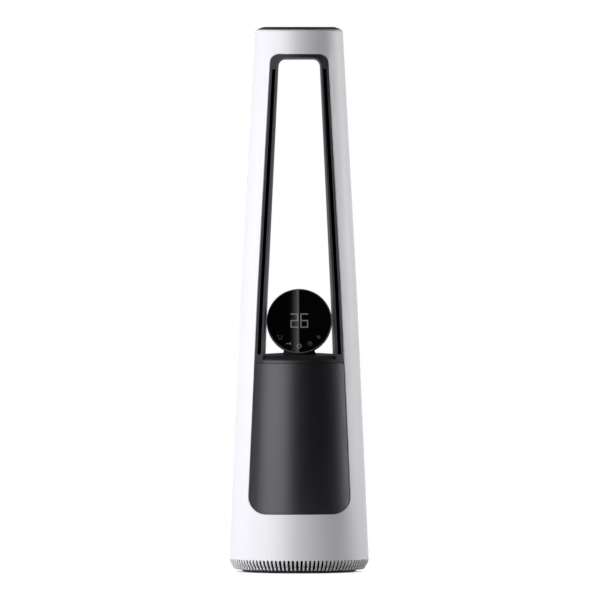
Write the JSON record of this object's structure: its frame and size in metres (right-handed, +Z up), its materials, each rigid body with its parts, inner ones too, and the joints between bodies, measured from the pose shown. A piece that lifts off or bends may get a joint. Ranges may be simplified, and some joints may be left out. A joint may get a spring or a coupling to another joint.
{
  "type": "tower air purifier fan",
  "caption": "Tapered tower fan and air purifier with a see-through outlet loop, a round tilted touch display, a pull-out filter drawer and a slatted intake foot that turns on its base",
  "frame": {"origin": "on the floor, under the middle of the base", "axes": "+Z up along the tower's axis, front with cover and display towards -Y"},
  "size_m": [0.268, 0.268, 1.05],
  "materials": {
    "white_shell": "satin white moulded casing",
    "dark_liner": "dark grey fine matt",
    "dark_cover": "dark grey satin",
    "black_cap": "black satin",
    "display_black": "black gloss",
    "bezel_grey": "dark grey gloss",
    "display_glass": "black gloss window",
    "base_paint": "black powder coat",
    "foot_rubber": "matt",
    "steel": "plain",
    "gear_plastic": "natural acetal",
    "inner_grey": "grey moulded",
    "tray_plastic": "dark grey moulded",
    "board_green": "solder mask",
    "component_black": "matt",
    "pin_brass": "plated",
    "lead_jacket": "matt",
    "filter_paper": "pleated paper",
    "filter_foam": "soft foam"
  },
  "bodies": {
    "base": {"rubber_feet": "foot_rubber", "base_plate": "base_paint", "base_screws": "steel", "glide_ring": "gear_plastic", "pivot_post": "steel", "sun_gear": "gear_plastic", "pivot_collar": "steel", "collar_screws": "steel"},
    "tower": {"turntable_plate": "inner_grey", "pivot_bush": "gear_plastic", "oscillation_motor": "steel", "motor_screws": "steel", "electronics_drum": "inner_grey", "control_board": "board_green", "board_components": "component_black", "dust_sensor": "inner_grey", "power_inlet": "component_black", "inlet_pins": "pin_brass", "inlet_lead": "lead_jacket", "intake_ring": "white_shell", "front_shell": "white_shell", "rear_shell": "white_shell", "case_screws": "steel", "top_cap": "black_cap", "bay_floor": "inner_grey", "bay_posts": "inner_grey", "catch_magnet": "component_black", "fan_deck": "inner_grey", "fan_housing": "inner_grey", "fan_screws": "steel", "motor_case": "steel", "motor_cap": "steel", "motor_bearings": "steel", "motor_stator": "steel", "motor_sleeve": "foot_rubber", "chamber_wall": "inner_grey", "loop_liner": "dark_liner", "nozzle_left": "dark_liner", "nozzle_right": "dark_liner", "display_shelf": "dark_liner", "display_stand": "dark_liner", "display_housing": "display_black", "display_bezel": "bezel_grey", "display_glass": "display_glass", "display_board": "board_green"},
    "pinion": {"drive_shaft": "steel", "drive_pinion": "gear_plastic"},
    "rotor": {"impeller": "inner_grey", "impeller_nut": "steel", "motor_shaft": "steel", "rotor_magnet": "component_black"},
    "drawer": {"front_cover": "dark_cover", "filter_tray": "tray_plastic", "strike_plate": "steel", "filter_bottom_cap": "tray_plastic", "filter_top_cap": "tray_plastic", "filter_core": "inner_grey", "filter_media": "filter_paper", "filter_seal": "filter_foam"}
  },
  "joints": [
    {"name": "tower_oscillation", "type": "hinge", "parent": "base", "child": "tower", "pos_m": [0, 0, 0.01], "axis": [0, 0, 1], "range_deg": [-45, 45]},
    {"name": "pinion_spin", "type": "hinge", "parent": "tower", "child": "pinion", "pos_m": [0, 0.05635, 0.0175], "axis": [0, 0, 1], "range_deg": [-181, 181]},
    {"name": "impeller_spin", "type": "hinge", "parent": "tower", "child": "rotor", "pos_m": [0, 0, 0.33], "axis": [0, 0, 1], "continuous": true},
    {"name": "filter_drawer", "type": "slide", "parent": "tower", "child": "drawer", "axis": [0, -1, 0], "range_m": [0, 0.26]}
  ],
  "couplings": [
    {"joint": "pinion_spin", "follows": "tower_oscillation", "ratio": 4}
  ]
}
